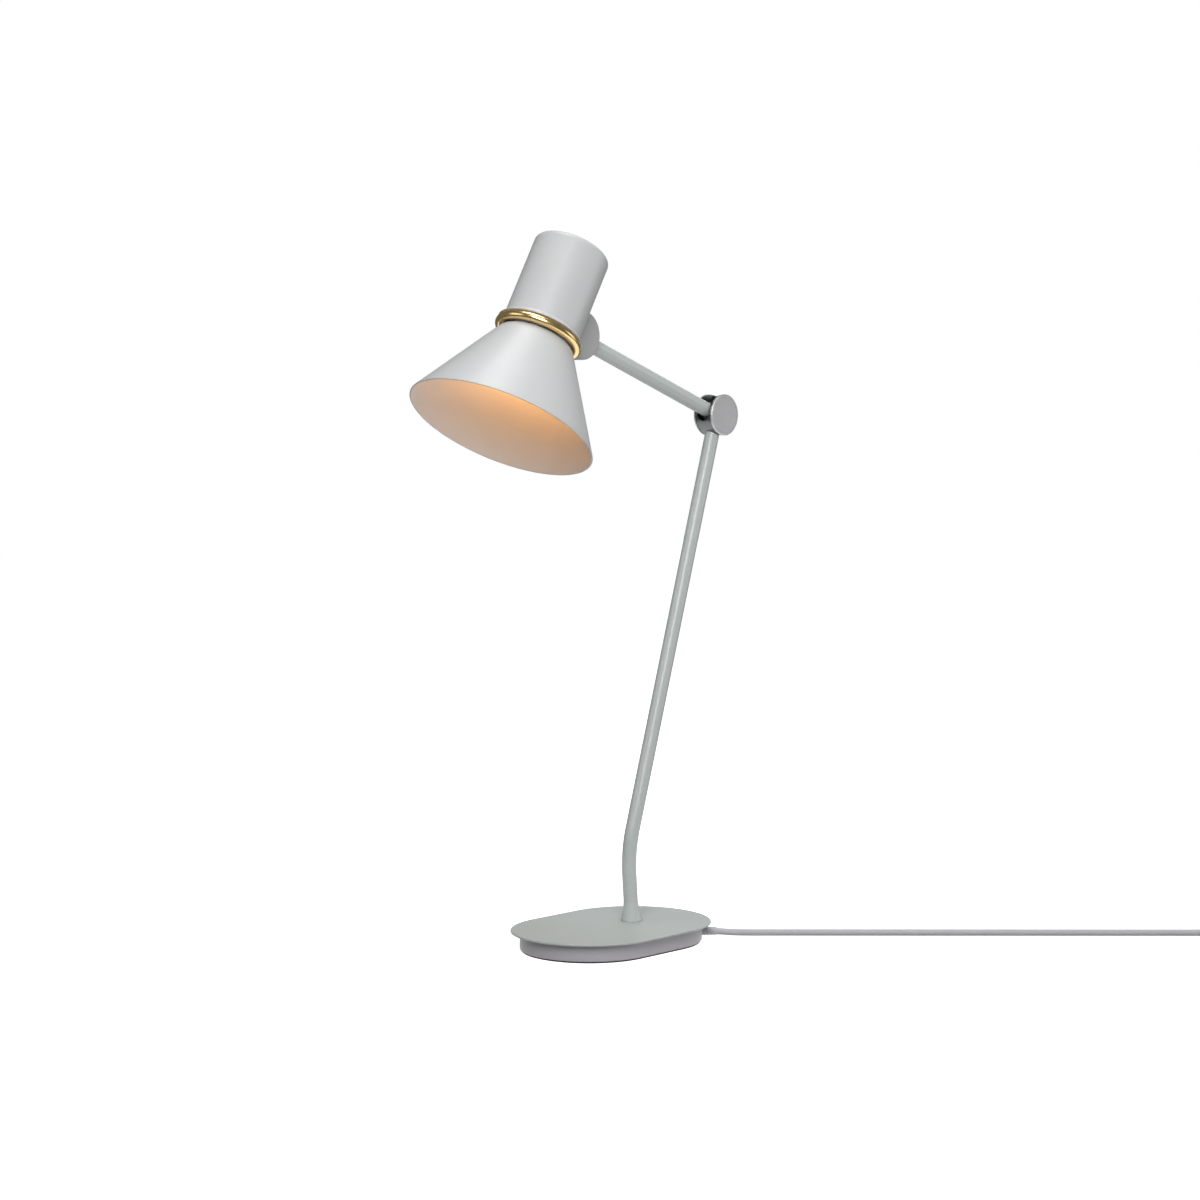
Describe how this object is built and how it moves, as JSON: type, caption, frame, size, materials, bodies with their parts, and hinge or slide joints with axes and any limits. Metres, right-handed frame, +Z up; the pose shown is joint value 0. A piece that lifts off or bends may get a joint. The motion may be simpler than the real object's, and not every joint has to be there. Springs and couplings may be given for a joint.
{
  "type": "architect desk lamp",
  "caption": "Jointed desk lamp: stadium base, cranked lower arm, straight upper arm on a drum elbow, tilting conical shade under a cylindrical cap with a gold ring.",
  "frame": {"origin": "middle of the base's underside, on the face of the foot pad", "axes": "+Z up, -X from the elbow towards the head, both arms in the XZ plane; +Y completes the right-handed frame"},
  "size_m": [0.8073, 0.5395, 0.6691],
  "materials": {
    "paint": "satin powder coat, warm light grey",
    "head_paint": "satin powder coat on spun aluminium, warm light grey",
    "skirt_paint": "satin, darker purple grey",
    "ballast_iron": "matte",
    "plated_steel": "satin zinc plate",
    "satin_steel": "satin, dark",
    "satin_aluminium": "satin, turned face",
    "gold": "polished",
    "nickel": "satin nickel plate",
    "nylon": "matte",
    "white_plastic": "satin",
    "grey_plastic": "matte",
    "pad_rubber": "matte",
    "flex_braid": "matte woven sleeve",
    "opal_glass": "satin opal"
  },
  "bodies": {
    "base": {"base_plate": "paint", "base_skirt": "skirt_paint", "ballast": "ballast_iron", "base_cover": "plated_steel", "foot_pad": "pad_rubber", "base_screw_1": "plated_steel", "base_screw_2": "plated_steel", "base_screw_3": "plated_steel", "swivel_bush": "nylon", "strain_relief": "grey_plastic", "base_lead": "white_plastic", "mains_cord": "flex_braid", "mains_coil": "flex_braid", "mains_tail": "flex_braid", "plug_body": "grey_plastic", "plug_pin_1": "nickel", "plug_pin_2": "nickel"},
    "lower_arm": {"lower_tube": "paint", "foot_ferrule": "paint", "swivel_stud": "plated_steel", "swivel_washer": "nylon", "swivel_nut": "plated_steel", "lower_lead": "white_plastic", "elbow_drum": "satin_steel", "elbow_bolt": "satin_aluminium", "elbow_nut": "satin_aluminium"},
    "upper_arm": {"elbow_knuckle": "plated_steel", "upper_tube": "paint", "upper_lead": "white_plastic", "elbow_washer_near": "nylon", "elbow_washer_far": "nylon", "head_knuckle": "plated_steel", "head_washer_near": "nylon", "head_washer_far": "nylon"},
    "head": {"shade": "head_paint", "shade_ring": "plated_steel", "neck_sleeve": "satin_aluminium", "gold_ring": "gold", "cap_collar": "head_paint", "cap_shell": "head_paint", "pivot_housing": "head_paint", "head_bolt": "plated_steel", "lampholder": "white_plastic", "lampholder_ring": "white_plastic", "lampholder_bracket": "plated_steel", "lampholder_nut": "plated_steel", "lampholder_lead": "white_plastic", "bulb_glass": "opal_glass", "bulb_base": "nickel", "switch_body": "grey_plastic", "switch_nut": "nickel", "head_lead": "white_plastic"},
    "switch_button": {"switch_button": "head_paint"}
  },
  "joints": [
    {"name": "base_swivel", "type": "hinge", "parent": "base", "child": "lower_arm", "pos_m": [0.0285, 0, 0.0195], "axis": [0, 0, 1], "range_deg": [-90, 90]},
    {"name": "elbow", "type": "hinge", "parent": "lower_arm", "child": "upper_arm", "pos_m": [0.15012, 0, 0.50154], "axis": [0, 1, 0], "range_deg": [-15, 75]},
    {"name": "head_tilt", "type": "hinge", "parent": "upper_arm", "child": "head", "pos_m": [-0.05098, 0, 0.57473], "axis": [0, 1, 0], "range_deg": [-40, 60]},
    {"name": "switch_push", "type": "slide", "parent": "head", "child": "switch_button", "axis": [-0.5, 0, -0.866], "range_m": [0, 0.0025], "stiffness_N_per_m": 300}
  ]
}
